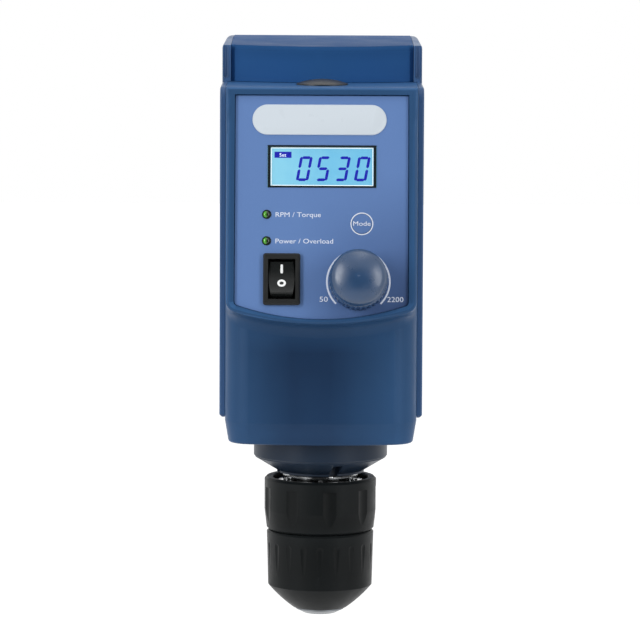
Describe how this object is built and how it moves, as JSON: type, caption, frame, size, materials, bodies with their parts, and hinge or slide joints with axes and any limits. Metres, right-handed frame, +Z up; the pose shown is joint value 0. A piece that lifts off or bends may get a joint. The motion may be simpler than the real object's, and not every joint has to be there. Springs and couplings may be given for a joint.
{
  "type": "overhead stirrer",
  "caption": "Overhead laboratory stirrer: sloping console with display, rocker switch and knob, belt-driven hollow spindle, keyless chuck below and a support rod behind.",
  "frame": {"origin": "on the spindle axis, at the mouth of the chuck", "axes": "+Z up the spindle axis, +Y towards the support rod at the back, and the console faces -Y"},
  "size_m": [0.083, 0.2351, 0.2355],
  "materials": {
    "cast_blue": "satin",
    "cover_blue": "satin",
    "panel_film": "printed film",
    "badge": "pale silver, bare",
    "dark_plastic": "moulded",
    "switch_grey": "moulded",
    "display_clear": "clear",
    "display_glass": "lit",
    "lamp_green": "lit",
    "key_blue": "moulded",
    "knob_blue": "satin moulding",
    "board_green": "circuit board",
    "board_parts": "mixed",
    "steel": "turned",
    "hard_steel": "ground",
    "zinc_steel": "zinc plated",
    "bright_chrome": "plated",
    "aluminium": "turned",
    "collar_blue": "satin",
    "rubber": "moulded",
    "brass": "plated",
    "copper": "enamelled wire",
    "iron": "laminated",
    "chuck_black": "satin moulding"
  },
  "bodies": {
    "head": {"front_housing": "cast_blue", "rear_cover": "cover_blue", "top_hood": "cover_blue", "control_panel": "panel_film", "badge_plate": "badge", "display_frame": "dark_plastic", "display_window": "display_clear", "display_module": "display_glass", "upper_lamp": "lamp_green", "lower_lamp": "lamp_green", "switch_frame": "switch_grey", "switch_terminals": "brass", "speed_control_body": "zinc_steel", "speed_control_nut": "zinc_steel", "control_board": "board_green", "board_parts": "board_parts", "spindle_cartridge": "collar_blue", "nose_ring": "collar_blue", "shaft_seal": "rubber", "bearing_outer_rings": "hard_steel", "bearing_circlip": "hard_steel", "drive_belt": "rubber", "motor_case": "zinc_steel", "motor_end_plate": "aluminium", "motor_stator": "iron", "motor_windings": "copper", "chassis": "zinc_steel", "chassis_screws": "zinc_steel", "machine_screws": "zinc_steel", "cover_screws": "zinc_steel", "support_rod": "bright_chrome", "rod_boss": "steel", "rod_nut": "zinc_steel", "power_inlet": "dark_plastic", "inlet_pins": "brass", "power_board": "board_green", "power_parts": "board_parts"},
    "spindle": {"hollow_spindle": "steel", "spindle_pulley": "aluminium", "bearing_inner_rings": "hard_steel", "chuck_body": "steel", "chuck_rear_sleeve": "chuck_black", "lock_ring": "bright_chrome", "neck_screws": "zinc_steel"},
    "chuck_sleeve": {"chuck_front_sleeve": "chuck_black", "scroll_nut": "steel", "thrust_ring": "hard_steel"},
    "jaw_1": {"chuck_jaw_1": "hard_steel"},
    "jaw_2": {"chuck_jaw_2": "hard_steel"},
    "jaw_3": {"chuck_jaw_3": "hard_steel"},
    "motor_armature": {"motor_shaft": "steel", "motor_rotor": "hard_steel", "motor_pulley": "aluminium"},
    "ball_cages": {"bearing_cages": "hard_steel"},
    "knob": {"speed_knob": "knob_blue", "speed_control_shaft": "steel"},
    "key": {"mode_key": "key_blue"},
    "rocker": {"rocker_paddle": "dark_plastic"},
    "plug": {"shaft_plug": "rubber"},
    "fuse_carrier": {"fuse_drawer": "dark_plastic"}
  },
  "joints": [
    {"name": "spindle_spin", "type": "hinge", "parent": "head", "child": "spindle", "pos_m": [0, 0, 0.1], "axis": [0, 0, 1], "continuous": true},
    {"name": "motor_spin", "type": "hinge", "parent": "head", "child": "motor_armature", "pos_m": [0, 0.052, 0.15], "axis": [0, 0, 1], "continuous": true},
    {"name": "bearing_cage_spin", "type": "hinge", "parent": "head", "child": "ball_cages", "pos_m": [0, 0, 0.1], "axis": [0, 0, 1], "continuous": true},
    {"name": "chuck_sleeve_turn", "type": "hinge", "parent": "spindle", "child": "chuck_sleeve", "pos_m": [0, 0, 0.02], "axis": [0, 0, 1], "range_deg": [-522, 1368]},
    {"name": "jaw_1_slide", "type": "slide", "parent": "spindle", "child": "jaw_1", "axis": [-0.2962, -0.171, -0.9397], "range_m": [-0.0029, 0.0076]},
    {"name": "jaw_2_slide", "type": "slide", "parent": "spindle", "child": "jaw_2", "axis": [0.2962, -0.171, -0.9397], "range_m": [-0.0029, 0.0076]},
    {"name": "jaw_3_slide", "type": "slide", "parent": "spindle", "child": "jaw_3", "axis": [0, 0.342, -0.9397], "range_m": [-0.0029, 0.0076]},
    {"name": "speed_knob_turn", "type": "hinge", "parent": "head", "child": "knob", "pos_m": [0.0149, -0.04494, 0.1429], "axis": [0, -0.9744, 0.225], "range_deg": [-210, 60]},
    {"name": "mode_key_press", "type": "slide", "parent": "head", "child": "key", "axis": [0, 0.9744, -0.225], "range_m": [0, 0.0005], "stiffness_N_per_m": 400, "springref_m": -0.001},
    {"name": "rocker_tilt", "type": "hinge", "parent": "head", "child": "rocker", "pos_m": [-0.016, -0.03638, 0.14174], "axis": [1, 0, 0], "range_deg": [0, 20]},
    {"name": "plug_lift", "type": "slide", "parent": "head", "child": "plug", "axis": [0, 0, 1], "range_m": [0, 0.02]},
    {"name": "fuse_drawer_pull", "type": "slide", "parent": "head", "child": "fuse_carrier", "axis": [0, 1, 0], "range_m": [0, 0.011]}
  ],
  "couplings": [
    {"joint": "motor_spin", "follows": "spindle_spin", "ratio": 1.7647},
    {"joint": "bearing_cage_spin", "follows": "spindle_spin", "ratio": 0.41154},
    {"joint": "chuck_sleeve_turn", "follows": "jaw_1_slide", "rad_per_m": 3141.6},
    {"joint": "jaw_2_slide", "follows": "jaw_1_slide", "ratio": 1},
    {"joint": "jaw_3_slide", "follows": "jaw_1_slide", "ratio": 1}
  ]
}
